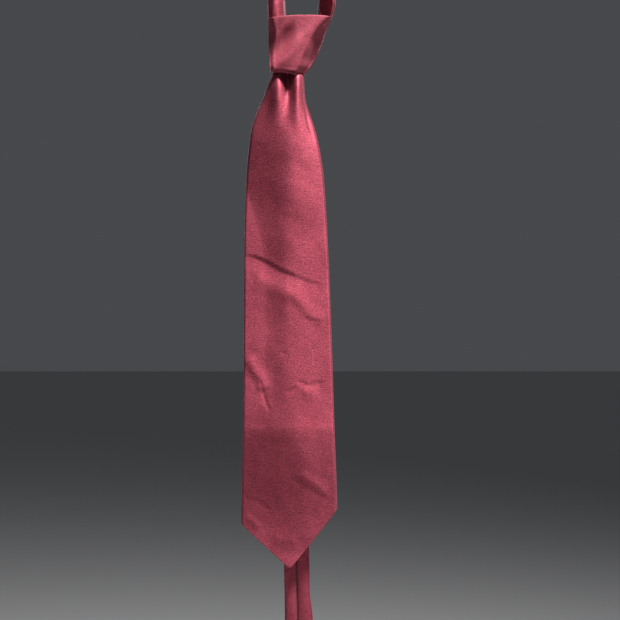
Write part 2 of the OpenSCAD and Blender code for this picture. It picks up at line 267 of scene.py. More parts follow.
# ---------------------------------------------------------------- how a piece belongs to the frame
def attach(obj, slot, body, *nodes):
    """The piece hides the CAD nodes it stands for and rides on a body; slot is not used."""
    if nodes:
        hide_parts(*nodes)
    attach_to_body(obj, body)


def bend_between(obj, bodies, from_d, to_d):
    """Bakes the piece's placement into its mesh; the piece is not bent between the bodies over the stretch of
    d, and bodies is not used.
    """
    tuple(place(0, 0, from_d))
    tuple(place(0, 0, to_d))
    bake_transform(obj)


def sew(name, stitches, body, *nodes):
    """One piece from all the stitches of a seam."""
    attach(join(name, stitches, THREAD), "thread", body, *nodes)


# ---------------------------------------------------------------- materials
def rgb(r, g, b):
    """Linear colour from sRGB levels of 0 to 255."""
    return tuple(((v / 255 + 0.055) / 1.055) ** 2.4 if v > 10 else v / 255 / 12.92 for v in (r, g, b)) + (1,)


def grey(level):
    return (level, level, level, 1)


class Nodes:
    """Short names for building one material's node tree."""

    def __init__(self, name):
        self.material = bpy.data.materials.new(name)
        self.material.use_nodes = True
        self.tree = self.material.node_tree
        self.shader = self.tree.nodes["Principled BSDF"]

    def add(self, kind, **values):
        node = self.tree.nodes.new(kind)
        for key, value in values.items():
            if key in node.inputs:
                node.inputs[key].default_value = value
            else:
                setattr(node, key, value)
        return node

    def link(self, source, target):
        self.tree.links.new(source, target)

    def scaled_uv(self, x, y, turn=0.0):
        uv = self.add("ShaderNodeUVMap", uv_map="weave")
        mapping = self.add("ShaderNodeMapping", Scale=(x, y, 1), Rotation=(0, 0, turn))
        self.link(uv.outputs["UV"], mapping.inputs["Vector"])
        return mapping.outputs["Vector"]

    def noise(self, vector, scale, detail=3.0, rough=0.5):
        node = self.add("ShaderNodeTexNoise", Scale=scale, Detail=detail, Roughness=rough)
        self.link(vector, node.inputs["Vector"])
        return node.outputs["Fac"]

    def ramp(self, factor, low, high, low_at=0.35, high_at=0.65):
        node = self.add("ShaderNodeValToRGB")
        ends = node.color_ramp.elements
        ends[0].position, ends[0].color = low_at, low
        ends[1].position, ends[1].color = high_at, high
        self.link(factor, node.inputs["Fac"])
        return node.outputs["Color"]

    def math(self, how, a, b):
        node = self.add("ShaderNodeMath", operation=how)
        for socket, value in zip(node.inputs, (a, b)):
            if isinstance(value, (int, float)):
                socket.default_value = value
            else:
                self.link(value, socket)
        return node.outputs[0]

    def mix(self, how, factor, a, b):
        node = self.add("ShaderNodeMix", data_type="RGBA", blend_type=how)
        for socket, value in ((node.inputs[0], factor), (node.inputs[6], a), (node.inputs[7], b)):
            if isinstance(value, (int, float, tuple)):
                socket.default_value = value
            else:
                self.link(value, socket)
        return node.outputs[2]

    def bumps(self, *layers):
        """Chained bump nodes: each layer is (height, strength, distance in metres)."""
        normal = None
        for height, strength, distance in layers:
            node = self.add("ShaderNodeBump", Strength=strength, Distance=distance)
            self.link(height, node.inputs["Height"])
            if normal is not None:
                self.link(normal, node.inputs["Normal"])
            normal = node.outputs["Normal"]
        self.link(normal, self.shader.inputs["Normal"])


def satin(name, body, streak, edge_highlight_colour, turn=0.0, rough=0.6, grain=1.0, shine=0.75, comb=0.6, wear_and_edge_highlight=0.45):
    """Satin: weft threads that float across the cloth, uneven dye, small slubs and a painted highlight on its
    convex folds and edges.

    turn is the way the weft runs, grain how strong the weave is, shine how metallic, comb how far the threads
    stretch a highlight, and the last number how strongly the painted highlight pales the convex folds and
    edges.
    """
    n = Nodes(name)
    dye = n.noise(n.scaled_uv(1, 1, turn), 0.4, 3.0)
    threads = n.noise(n.scaled_uv(6, 34, turn), 1.0, 3.0, 0.65)
    specks = n.noise(n.scaled_uv(7, 9, turn), 1.0, 3.0, 0.7)
    slubs = n.noise(n.scaled_uv(1.6, 11, turn), 1.0, 2.0, 0.5)
    colour = n.mix("MIX", n.ramp(dye, grey(0.15), grey(0.85)), body, streak)
    layers = ((threads, 0.7, 0.45, 1.5), (specks, 0.7, 0.45, 1.5), (slubs, 0.4, 0.6, 1.35))
    for layer, share, low, high in layers:
        colour = n.mix("MULTIPLY", share * grain, colour, n.ramp(layer, grey(low), grey(high), 0.32, 0.68))
    # Painted highlight: convex folds and rolled edges, found by pointiness, are mixed towards a pale pink in
    # the base colour.
    edge = n.add("ShaderNodeNewGeometry").outputs["Pointiness"]
    colour = n.mix("MIX", n.ramp(edge, grey(0), grey(wear_and_edge_highlight), 0.53, 0.6), colour, edge_highlight_colour)
    n.link(colour, n.shader.inputs["Base Color"])
    n.link(n.ramp(threads, grey(rough - 0.06), grey(rough + 0.08)), n.shader.inputs["Roughness"])
    n.bumps((threads, 0.30 * grain, 0.0003), (specks, 0.22 * grain, 0.0003), (slubs, 0.10 * grain, 0.0005))
    tangent = n.add("ShaderNodeTangent", direction_type="UV_MAP", uv_map="weave")
    n.link(tangent.outputs["Tangent"], n.shader.inputs["Tangent"])
    n.shader.inputs["Anisotropic"].default_value = comb
    n.shader.inputs["Anisotropic Rotation"].default_value = 0.25
    n.shader.inputs["Metallic"].default_value = shine
    n.shader.inputs["Specular IOR Level"].default_value = 0.5
    n.shader.inputs["Specular Tint"].default_value = (1.0, 0.72, 0.78, 1)
    n.shader.inputs["Sheen Weight"].default_value = 0.15
    n.shader.inputs["Sheen Roughness"].default_value = 0.4
    n.shader.inputs["Sheen Tint"].default_value = (1.0, 0.6, 0.68, 1)
    return n.material


def plain_cloth(name, body, shade, size=12.0, rough=0.85, height=0.5):
    """Plain woven or brushed cloth."""
    n = Nodes(name)
    over = n.add("ShaderNodeTexWave", wave_type="BANDS", bands_direction="X", Scale=1.0, Distortion=0.6)
    under = n.add("ShaderNodeTexWave", wave_type="BANDS", bands_direction="Y", Scale=1.0, Distortion=0.6)
    vector = n.scaled_uv(size, size)
    n.link(vector, over.inputs["Vector"])
    n.link(vector, under.inputs["Vector"])
    weave = n.math("MULTIPLY", over.outputs["Fac"], under.outputs["Fac"])
    fuzz = n.noise(n.scaled_uv(6, 6), 1.5, 4.0, 0.6)
    colour = n.mix("MIX", n.ramp(fuzz, grey(0), grey(1)), body, shade)
    ribbed = n.mix("MULTIPLY", 0.35, colour, n.ramp(weave, grey(0.6), grey(1.1), 0.1, 0.6))
    n.link(ribbed, n.shader.inputs["Base Color"])
    n.shader.inputs["Roughness"].default_value = rough
    n.shader.inputs["Sheen Weight"].default_value = 0.2
    n.bumps((weave, height, 0.0003), (fuzz, height / 2, 0.0004))
    return n.material


def hard(name, body, shade, metal, rough):
    """Moulded plastic or stamped metal, with fine uneven wear."""
    n = Nodes(name)
    wear_and_edge_highlight = n.noise(n.add("ShaderNodeTexCoord").outputs["Object"], 900, 4.0, 0.6)
    n.link(n.mix("MIX", n.ramp(wear_and_edge_highlight, grey(0), grey(1)), body, shade), n.shader.inputs["Base Color"])
    n.link(n.ramp(wear_and_edge_highlight, grey(rough - 0.08), grey(rough + 0.1)), n.shader.inputs["Roughness"])
    n.shader.inputs["Metallic"].default_value = metal
    n.bumps((wear_and_edge_highlight, 0.15, 0.0002))
    return n.material


# The third colour handed to each satin below is its painted highlight for convex folds and edges; the first
# two are the cloth's own colours.
BURGUNDY, WINE, EDGE_HIGHLIGHT_PINK = rgb(158, 68, 84), rgb(144, 58, 73), rgb(214, 130, 146)
SATIN = satin("satin_blade", BURGUNDY, WINE, EDGE_HIGHLIGHT_PINK, grain=1.1)
SATIN_KNOT = satin("satin_knot", rgb(146, 58, 73), rgb(132, 49, 63), EDGE_HIGHLIGHT_PINK, turn=math.radians(52),
                   shine=0.3, comb=0.0, wear_and_edge_highlight=0.2)
SATIN_STRAP = satin("satin_strap", rgb(158, 66, 82), rgb(144, 56, 70), EDGE_HIGHLIGHT_PINK, turn=math.radians(45),
                    rough=0.44)
LINING = satin("lining_cloth", rgb(92, 28, 40), rgb(80, 22, 34), rgb(120, 50, 62), turn=math.radians(90),
               rough=0.5)
WOOL = plain_cloth("interlining_wool", rgb(214, 206, 190), rgb(190, 180, 162), 8.0, 0.95, 0.6)
ZIP_TAPE = plain_cloth("zip_tape_cloth", rgb(168, 112, 120), rgb(146, 88, 98), 16.0, 0.8, 0.6)
THREAD = plain_cloth("sewing_thread", rgb(150, 60, 76), rgb(124, 44, 60), 30.0, 0.6, 0.5)
TEETH = hard("zip_coil_nylon", rgb(150, 92, 100), rgb(126, 72, 82), 0.0, 0.32)
STEEL = hard("zip_steel", rgb(186, 188, 192), rgb(160, 160, 166), 1.0, 0.34)
PLASTIC = hard("former_plastic", rgb(30, 31, 34), rgb(22, 23, 26), 0.0, 0.55)


# ---------------------------------------------------------------- the blade's shape
BEND_FROM = 300
HEM_ROUND = 1.5
LEFT_CORNER, RIGHT_CORNER = (-40.0, 422.5), (40.0, 409.2)
TIP_X = 0.8
left_edge = curve((36, -11.2), (46, -12.6), (51, -15.2), (60, -18.4), (70, -22.2), (82, -27.6), (94, -31.2),
                  (113, -33.8), (133, -35.5), (187, -37.3), (253, -37.7), (303, -37.8), (353, -38.6),
                  (422.5, -40))
right_edge = curve((36, 9.6), (46, 10.6), (51, 12.4), (62, 12.9), (72, 14.2), (82, 17.6), (94, 21.6),
                   (113, 25.9), (133, 28.8), (187, 32.2), (253, 34.9), (303, 36.6), (353, 38.2), (409, 40))


def hem_d(x):
    """How far down the pointed lower edge is, at x."""
    left = (TIP_D - LEFT_CORNER[1]) / (TIP_X - LEFT_CORNER[0])
    right = (TIP_D - RIGHT_CORNER[1]) / (RIGHT_CORNER[0] - TIP_X)
    slope = np.where(x < TIP_X, left, right)
    return TIP_D - slope * (np.sqrt((x - TIP_X) ** 2 + HEM_ROUND**2) - HEM_ROUND)


def row_d(x, row):
    """Rows run level, and bend little by little into the point's V below BEND_FROM."""
    share = np.clip((row - BEND_FROM) / (TIP_D - BEND_FROM), 0, None)
    return np.where(row > BEND_FROM, BEND_FROM + share * (hem_d(x) - BEND_FROM), row)


def crease(x, d, line, above, below, fade=6.0):
    """1 on a line of (x, d) points, falling away over a width above it and another below it."""
    line = np.array(line, float)
    best = np.full(np.shape(x), 1e9)
    value = np.zeros(np.shape(x))
    ends = np.zeros(np.shape(x))
    total = np.linalg.norm(np.diff(line, axis=0), axis=1).sum()
    gone = 0.0
    for a, b in zip(line[:-1], line[1:]):
        size = np.linalg.norm(b - a)
        t = np.clip(((x - a[0]) * (b[0] - a[0]) + (d - a[1]) * (b[1] - a[1])) / size**2, 0, 1)
        dx, dd = x - (a[0] + t * (b[0] - a[0])), d - (a[1] + t * (b[1] - a[1]))
        away = np.hypot(dx, dd)
        side = (b[0] - a[0]) * dd - (b[1] - a[1]) * dx
        near = away < best
        best = np.where(near, away, best)
        value = np.where(near, np.exp(-(away / np.where(side > 0, below, above)) ** 2), value)
        along = gone + t * size
        ends = np.where(near, smooth(0, fade, along + 1) * smooth(0, fade, total - along + 1), ends)
        gone += size
    return value * ends


crown_by_d = curve((36, 2.0), (47, 2.6), (53, 5.2), (62, 7.0), (100, 8.0), (130, 6.0), (160, 3.8), (200, 2.1),
                   (250, 1.6), (300, 1.6), (345, 2.2), (400, 3.2), (430, 2.4), (460, 0.4))
left_flank = curve((100, 32), (130, 31), (160, 24), (200, 15), (250, 13), (310, 14), (350, 34), (400, 48))
left_power = curve((60, 0.62), (110, 0.7), (140, 1.0), (180, 1.4), (310, 1.4), (350, 1.0))
twist_by_d = curve((325, 0), (350, 0.035), (385, 0.07), (425, 0.06), (460, 0.02))
edge_by_d = curve((36, -7.2), (52, -7.6), (80, -7.4), (110, -7.8), (150, -8.3), (250, -8.6), (460, -8.4))
sway_by_d = curve((60, 0), (140, 0.4), (200, 0.2), (240, -1.0), (338, -4.2), (344, -4.5), (349, -4.3),
                  (356, -3.7), (424, 1.6), (436, 1.3), (446, 0.6), (460, -1.2))
left_ridge = curve((36, 0.6), (46, 1.2), (52, 3.0), (68, 2.7), (78, 1.5), (90, 0.4), (104, 0))
left_ridge_x = curve((36, -7.5), (52, -9.0), (76, -10.6), (100, -12))
right_ridge = curve((36, 0.6), (46, 1.2), (52, 3.0), (70, 2.6), (84, 1.6), (100, 0.6), (125, 0))
right_ridge_x = curve((36, 6), (52, 7.0), (80, 7.4), (110, 10))
groove = curve((36, 2.4), (46, 4.2), (51, 6.2), (58, 4.6), (66, 3.0), (76, 1.6), (88, 0.6), (100, 0))
groove_x = curve((36, -1.5), (51, -1.8), (58, -0.6), (72, -0.2), (90, -1))
groove_w = curve((46, 4.6), (52, 4.6), (60, 4.6), (75, 5), (95, 6))
apex_x = curve((300, -0.8), (350, 8), (385, 14), (425, 12), (460, 1))
APEX_ROUND = 7.0


def creases(x, d):
    """Pressed-in folds of the hanging blade: positive goes away from the viewer."""
    fold = 0.65 * crease(x, d, [(-40, 199), (-28, 201), (-18, 205), (-6, 212), (8, 218)], 0.8, 8.0, 16)
    fold += 0.3 * crease(x, d, [(-1, 214), (6, 217), (17, 221.7), (28, 224)], 0.8, 7.0)
    fold -= 0.5 * crease(x, d, [(-30, 219), (-17, 224), (-6, 229), (4.5, 233.6)], 5.0, 7.0)
    fold -= 0.6 * crease(x, d, [(0, 232), (4.5, 233.6), (9.6, 238.7), (14.7, 245.5), (19, 250.6), (30, 255)],
                         7, 4)
    fold += 0.2 * crease(x, d, [(13, 252), (19, 253), (29, 255)], 1.0, 2.0, 3)
    fold -= 0.9 * crease(x, d, [(-36, 284), (-29, 295), (-24, 302), (-21, 313)], 6.0, 4.0)
    fold += 0.3 * crease(x, d, [(-24, 303), (-21.4, 312.5), (-19.3, 321), (-15.9, 329)], 1.2, 1.8, 4)
    fold += 0.25 * crease(x, d, [(-3, 313.5), (2, 312), (7, 309)], 1.3, 2.0, 3)
    fold += 0.3 * crease(x, d, [(7, 304), (11, 305), (15, 307.5), (27, 305)], 1.5, 3.0, 3)
    fold -= 0.5 * crease(x, d, [(10, 315), (17, 313), (24, 316)], 5.0, 7.0)
    fold += 0.25 * crease(x, d, [(-7, 281), (-1, 280)], 1.4, 3.0, 3)
    fold += 0.2 * crease(x, d, [(-38, 402), (-27, 403.5), (-21, 407), (-15, 413)], 1.2, 4.0)
    fold += 0.14 * crease(x, d, [(2, 384), (11, 392), (20, 397), (29, 402), (39, 408)], 3.0, 1.6)
    fold -= 0.4 * crease(x, d, [(8, 380), (20, 388), (33, 399)], 4.0, 4.0)
    fold -= 0.4 * crease(x, d, [(-38, 417), (-30, 421), (-24, 428)], 3.0, 3.5)
    fold -= 0.4 * crease(x, d, [(-14, 434), (-4, 437), (8, 436)], 4.0, 6.0)
    fold += 0.22 * soft_noise(x, d * 1.1, 42, 5) * smooth(90, 140, d)
    fold += 0.04 * soft_noise(x, d * 1.4, 15, 8) * smooth(80, 120, d)
    return fold


def tent(x, d):
    """1 along the blade's long ridge line, falling to 0 at its right side and over the left flank."""
    away = np.sqrt((x - apex_x(d)) ** 2 + APEX_ROUND**2) - APEX_ROUND
    flank = np.minimum(left_flank(d), apex_x(d) - left_edge(d))
    side = np.where(x < apex_x(d), flank, right_edge(d) - apex_x(d))
    power = np.where(x < apex_x(d), left_power(d), 1.0)
    return (1 - np.clip(away / side, 0, 1)) ** power


def middle_share(x, d):
    """1 over most of the blade's width and 0 at its two sides."""
    return smooth(0, 4, x - left_edge(d)) * smooth(0, 4, right_edge(d) - x)


def side_y(x, d):
    """Depth of the blade's two folded sides."""
    return edge_by_d(d) + sway_by_d(d) - twist_by_d(d) * x + creases(x, d)


def blade_front(x, d):
    middle = middle_share(x, d)
    y = side_y(x, d) - crown_by_d(d) * tent(x, d)
    y = y - left_ridge(d) * bump(x - left_ridge_x(d), 5.8) * middle
    y = y - right_ridge(d) * bump(x - right_ridge_x(d), 5.4) * middle
    y = y + groove(d) * bump(x - groove_x(d), groove_w(d))
    pleat_x = curve((60, 11.6), (72, 12.2), (82, 13.4), (93, 15.8), (106, 19.5))(d)
    step = curve((60, 0.0), (68, 1.5), (80, 1.7), (94, 0.9), (108, 0.0))(d)
    return y + step * smooth(-0.5, 0.7, x - pleat_x)


roll_r = curve((36, 1.0), (60, 1.4), (120, 1.5), (400, 1.4), (430, 1.2))


def blade_back(x, d):
    """Depth of the folded-over back: flat, and full in the middle where the seam is."""
    middle = middle_share(x, d)
    relief = sway_by_d(d) - twist_by_d(d) * x + creases(x, d) * (1 - 0.6 * middle)
    fullness = curve((36, 0.2), (120, 0.7), (360, 0.8), (400, 0.3), (460, 0))(d)
    return edge_by_d(d) + relief + 2 * roll_r(d) + fullness * middle


FRONT_STEPS, SIDE_STEPS, BACK_STEPS = 84, 6, 22
BLADE_TOP_D, CLOSE_ROWS_TO_D, LAST_ROW_D = 37, 110, 459
SHELL_THICK = 0.55
SEAM_GAP = 0.25
FLAP_FROM = 365
FLAP_RIM = 9
HEM_RADIUS, HEM_DROP, HEM_BEHIND = 0.65, 0.5, 1.3
HEM_FOLD = 9
THROAT_BEND = (("knot", "blade"), THROAT_D - 5, THROAT_D + 8)
side_turn = np.radians(np.linspace(90, -90, SIDE_STEPS + 1)[:-1])


def blade_half(row, side, edge_curve, corner_at, ease):
    """For one row, the back from the seam outwards and then round the side; and where the front starts."""
    edge = edge_curve(min(row, row_d(corner_at[0], row)))
    edge_d = row_d(edge, row)
    radius = roll_r(edge_d)
    opened = np.clip((edge_d - FLAP_FROM) / (corner_at[1] - ease - FLAP_FROM), 0, 1)
    seam_x = TIP_X + side * SEAM_GAP + opened * (edge - side * FLAP_RIM - TIP_X)
    x = np.linspace(seam_x, edge - side * radius, BACK_STEPS + 1)[:-1]
    d = row_d(x, row)
    back = np.stack([x, blade_back(x, d), d], -1)
    rolled_x = edge - side * radius * (1 - np.cos(side_turn))
    rolled_y = side_y(edge, edge_d) + radius * (1 + np.sin(side_turn))
    rolled = np.stack([rolled_x, rolled_y, edge_d + 0 * side_turn], -1)
    return np.concatenate([back, rolled]), edge - side * radius


def blade_grid():
    """The blade's cloth as a C: right flap, right side, front, left side, left flap, for every row."""
    rows = np.concatenate([np.arange(BLADE_TOP_D, CLOSE_ROWS_TO_D, 1.0),
                           np.arange(CLOSE_ROWS_TO_D, LAST_ROW_D, 1.25), [TIP_D]])
    grid = []
    for row in rows:
        right, right_x = blade_half(row, RIGHT, right_edge, RIGHT_CORNER, 2)
        left, left_x = blade_half(row, LEFT, left_edge, LEFT_CORNER, 5)
        x = np.linspace(right_x, left_x, FRONT_STEPS + 1)
        d = row_d(x, row)
        front = np.stack([x, blade_front(x, d), d], -1)
        grid.append(np.concatenate([right, front, left[::-1]]))
    return np.array(grid)


def hem_grid(last):
    """The front's last row rolls under and runs back up inside the point."""
    rows = []
    for turn in np.radians((45, 90, 135, 180)):
        rows.append(last + [0, HEM_RADIUS * (1 - math.cos(turn)), HEM_DROP * math.sin(turn)])
    under = rows[-1]
    for up in (1.5, 3, 5, 7, HEM_FOLD):
        inside = under - [0, 0, up]
        inside[:, 1] = blade_front(inside[:, 0], inside[:, 2]) + HEM_BEHIND
        rows.append(inside)
    return np.array(rows)


def build_blade():
    grid = blade_grid()
    points = place_grid(grid)
    rows, cols = points.shape[:2]
    steps = np.hypot(np.diff(grid[..., 0], axis=1), np.diff(grid[..., 1], axis=1))
    u = np.hstack([np.zeros((rows, 1)), np.cumsum(steps, axis=1)])
    u = (u - u[:, cols // 2, None]) / WEAVE_UNIT
    uv = np.stack([u, grid[..., 2] / WEAVE_UNIT], -1)
    first, count = BACK_STEPS + SIDE_STEPS, FRONT_STEPS + 1
    last = grid[-1, first:first + count]
    hem = hem_grid(last)
    top = (rows - 1) * cols + first + np.arange(count)
    index = np.vstack([top, rows * cols + np.arange(len(hem) * count).reshape(-1, count)])
    hem_faces = np.stack([index[:-1, :-1], index[:-1, 1:], index[1:, 1:], index[1:, :-1]], -1)
    hem_u = np.broadcast_to(u[-1, first:first + count], hem.shape[:2])
    hem_v = last[:, 2] / WEAVE_UNIT + 0.1 * np.arange(1, len(hem) + 1)[:, None]
    hem_uv = np.stack([hem_u, hem_v], -1)
    obj = mesh_object("blade_shell_cloth",
                      np.vstack([points.reshape(-1, 3), place_grid(hem).reshape(-1, 3)]),
                      np.vstack([grid_faces(rows, cols), hem_faces.reshape(-1, 4)]),
                      np.vstack([uv.reshape(-1, 2), hem_uv.reshape(-1, 2)]), SATIN)
    thicken(obj, SHELL_THICK)
    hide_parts("blade_shell", "knot_throat_gather")
    bend_between(obj, *THROAT_BEND)


# ---------------------------------------------------------------- the knot's shape
KNOT_H = KNOT_BOX[1][2] - KNOT_BOX[0][2]
KNOT_BACK = 7.0
CORNER_FRONT, CORNER_BACK = 0.8, 2.6
SIDE_SLOPE, SIDE_ROUND = 1.5, 2.0
knot_left = curve((-6, -17.2), (0, -17.3), (10, -17.2), (28, -16.9), (39, -16.2), (44, -15.8), (48, -14.6),
                  (52, -14))
knot_right = curve((-6, 36.5), (0, 35.6), (7, 32.4), (16, 29.2), (25, 26.0), (32, 23.1), (41, 18.0),
                   (48, 12.9), (54, 10))
knot_front = curve((-4, -13), (0, -13.2), (12, -13.6), (28, -15.4), (40, -16.4), (48, -16.6), (54, -16.6))
side_w = curve((-4, 2), (3, 4), (12, 8), (22, 11), (34, 11.5), (44, 9), (52, 8))
left_w = curve((0, 5), (16, 7), (30, 5), (48, 3.5))


def knot_face(x, d):
    """Depth of the knot's front: a hollow, a pulled diagonal ridge, and two sides that turn away."""
    from_right, from_left = knot_right(d) - x, x - knot_left(d)
    y = knot_front(d) + 2.0 * np.clip(1 - from_left / 18, 0, 1) ** 1.5
    for turned in (side_w(d) - from_right, left_w(d) - from_left):
        y = y + SIDE_SLOPE * (np.sqrt(np.clip(turned, 0, None) ** 2 + SIDE_ROUND**2) - SIDE_ROUND)
    across = 0.73 * x + 0.69 * d
    y = y + 3.6 * bump(across - 13, 7.0) * smooth(0, 14, d) * smooth(-3, 6, from_left) * smooth(8, -6, x)
    y = y - 1.5 * bump(across - 22.5, 6.0) * smooth(0, 8, from_right)
    y = y + 0.20 * crease(x, d, [(-14, 40), (-2, 33), (8, 24), (17, 15)], 1.5, 3.0, 8)
    y = y + 0.1 * crease(x, d, [(-14, 43.4), (-4, 43.8), (10, 44.8)], 0.7, 1.4, 4)
    return y + 0.16 * soft_noise(across, (0.7 * x - 0.7 * d) * 0.35, 7, 3)


def corner(x, y, radius, start):
    """Five points of a quarter turn, clockwise as seen from above, from a start angle in degrees."""
    angle = np.radians(start + np.linspace(9, 81, 5))
    return x + radius * np.cos(angle), y + radius * np.sin(angle)


def knot_ring(d, inset):
    """One level ring round the knot, d below its rim and drawn in by an inset, from its back's middle."""
    left, right, back = float(knot_left(d)) + inset, float(knot_right(d)) - inset, KNOT_BACK - inset
    r, rb, middle = CORNER_FRONT, CORNER_BACK, float(knot_left(d) + knot_right(d)) / 2
    face_x = np.linspace(left + r, right - r, 61)
    face_y = knot_face(face_x, d) + inset
    y_left, y_right = min(face_y[0], back - rb - r - 1), min(face_y[-1], back - rb - r - 1)
    left_y = np.linspace(back - rb, y_left + r, 5)
    right_y = np.linspace(y_right + r, back - rb, 5)
    parts = [(np.linspace(middle, left + rb, 10), np.full(10, back)), corner(left + rb, back - rb, rb, 90),
             (np.full(5, left), left_y), corner(left + r, y_left + r, r, 180), (face_x, face_y),
             corner(right - r, y_right + r, r, 270), (np.full(5, right), right_y),
             corner(right - rb, back - rb, rb, 0),
             (np.linspace(right - rb, middle, 10)[:-1], np.full(9, back))]
    return np.concatenate([p[0] for p in parts]), np.concatenate([p[1] for p in parts])


def wrap_grid(top, low, inset, turn_in, radius, rims):
    """A turn of cloth round the knot with both of its edges folded in: rows go over the rim and under."""
    height = low - top
    folded = np.linspace(turn_in, 0, 6)[:-1]
    bent = np.radians(np.linspace(0, 180, 8))
    rows = [(s + radius, 2 * radius + 0.02 * s) for s in folded]
    rows += [(radius - radius * math.sin(t), radius + radius * math.cos(t)) for t in bent]
    rows += [(radius + s * (height - 2 * radius), 0.0) for s in np.linspace(0, 1, 40)[1:-1]]
    rows += [(height - radius + radius * math.sin(t), radius - radius * math.cos(t)) for t in bent]
    rows += [(height - radius - s, 2 * radius + 0.02 * s) for s in folded[::-1]]
    out = []
    for down, drawn in rows:
        share = down / height
        level = top + down
        x, y = knot_ring(level, inset + drawn)
        upper, lower = rims(x)
        d = level + upper * (1 - share) + lower * share
        left, right = knot_left(level), knot_right(level)
        across = (x - left) / (right - left)
        x = x + across * (knot_right(d) - right) + (1 - across) * (knot_left(d) - left)
        out.append(np.stack([x, y, d], -1))
    return np.array(out)


def front_rims(x):
    """How much lower the outer turn's two rims are at x than where they would run level."""
    return 1.6 * smooth(10, -18, x) + 1.3 * smooth(18, 37, x), -1.2 * smooth(6, -10, x)


def under_rims(x):
    """The same for the inner turn, which shows below the outer one at the right."""
    return 0.0 * x, 2.6 * smooth(-6, 11, x)


def knot_turn(name, node, grid, thickness):
    """One turn of cloth round the knot."""
    points = place_grid(grid[:, ::-1])
    obj = cloth_grid(name, np.concatenate([points, points[:, :1]], axis=1), thickness, SATIN_KNOT)
    attach(obj, "satin", "knot", node)


def build_knot():
    outer = wrap_grid(0, KNOT_H - 0.4, 0, 7, 0.45, front_rims)
    inner = wrap_grid(1.5, KNOT_H + 0.6, 1.1, 5, 0.35, under_rims)
    knot_turn("knot_wrap_front_cloth", "knot_wrap_front", outer, 0.5)
    knot_turn("knot_wrap_under_cloth", "knot_wrap_under", inner, 0.45)


# ---------------------------------------------------------------- the strap's two strands
LOOP_R = 21.6
LOOP_X = -BLADE_X
ARCH_BOTTOM_D = -56.0
ARCH_TOP_D = ARCH_BOTTOM_D - LOOP_R * math.pi / 2
JUNCTION_D = 38.0
SLIT = 0.8
ZIP_TOP_D = -20.0
ZIP_END_D = 527.0
STOP_H = 4.0

strand_x = {
    LEFT: curve((-30, -LOOP_R), (-12, -LOOP_R), (0, -21.3), (8, -20.2), (20, -18.9), (38, -17.5)),
    RIGHT: curve((-45, LOOP_R), (-14, 22.6), (0, 20.9), (5, 18.2), (12, 11.6), (22, 4.2), (38, -6.2)),
}
strand_half_w = {
    LEFT: curve((-60, 6.3), (-14, 6.6), (0, 6.4), (8, 5.6), (24, 5.15), (490, 5.15), (520, 5.3)),
    RIGHT: curve((-60, 6.3), (-14, 7.6), (-4, 6.0), (2, 5.3), (24, 5.15), (480, 5.15), (505, 6.2),
                 (530, 5.9)),
}
strand_half_t = {
    LEFT: curve((-60, 2.0), (-12, 2.9), (0, 2.6), (10, 1.8), (40, 1.65), (470, 1.65), (500, 1.9),
                (530, 1.7)),
    RIGHT: curve((-60, 2.0), (-12, 2.8), (0, 2.3), (10, 1.8), (40, 1.65), (470, 1.65), (500, 1.9),
                 (530, 1.7)),
}
strand_turn = {
    LEFT: curve((-60, 90), (-50, 82), (-36, 62), (-14, 26), (0, 14), (8, 5), (24, 0)),
    RIGHT: curve((-60, 90), (-50, 84), (-36, 68), (-14, 40), (0, 22), (8, 8), (24, 0)),
}
strand_bulge = {
    LEFT: curve((-50, 0.1), (-14, 0.9), (0, 0.7), (12, 0.12), (430, 0.15), (462, 0.5), (500, 0.5),
                (540, 0.15)),
    RIGHT: curve((-50, 0.1), (-14, -0.7), (-2, -0.6), (12, 0.1), (430, 0.15), (462, 0.5), (500, 0.45),
                 (540, 0.15)),
}
zip_gap = curve((-50, 0.5), (-30, 1.0), (-12, 3.0), (20, 3.8), (530, 3.8))
zip_reach = curve((-30, 3.2), (8, 3.2), (34, 0.9), (60, 0.9))


def strand_frame(side, d):
    """Middle, outward direction and face direction of a strand, at distances down its path."""
    d = np.asarray(d, float)
    angle = np.clip((d - ARCH_TOP_D) / LOOP_R, 0, math.pi / 2)
    beside = strap_x(d) + side * (SLIT / 2 + strand_half_w[side](d))
    straight = np.where(d < JUNCTION_D, strand_x[side](d) + LOOP_X, beside)
    arched = d < ARCH_BOTTOM_D
    x = np.where(arched, LOOP_X + side * LOOP_R * np.sin(angle), straight)
    down = np.where(arched, ARCH_BOTTOM_D - LOOP_R * np.cos(angle), d)
    turn = np.radians(strand_turn[side](d))
    middle = np.stack([x, 0 * d, down], -1)
    outward = np.stack([side * np.cos(turn), -np.sin(turn), 0 * d], -1)
    face = np.stack([-side * np.sin(turn) * np.sin(angle), -np.cos(turn), np.sin(turn) * np.cos(angle)], -1)
    return middle, outward, face


def strand_points(side, d, w, t):
    """Points at w outward and t towards the face from a strand's middle line, in metres."""
    middle, outward, face = strand_frame(side, d)
    local = middle + np.asarray(w)[..., None] * outward + np.asarray(t)[..., None] * face
    return place_grid(local)


def through(points, count):
    """A smooth line through control points, at count even steps."""
    points = np.array(points, float)
    gone = np.concatenate([[0], np.cumsum(np.linalg.norm(np.diff(points, axis=0), axis=1))])
    steps = np.linspace(0, gone[-1], count)
    return np.stack([spline(gone, line, np.gradient(line, gone), steps) for line in points.T], -1)


def strand_wall(side, d):
    """Half the tube's width, half its thickness, and how far forward its front is at a place across it."""
    half_w, half_t = float(strand_half_w[side](d)), float(strand_half_t[side](d))
    bulge = float(strand_bulge[side](d))
    return half_w, half_t, lambda w: half_t * (1 + bulge * (1 - (w / half_w) ** 2))


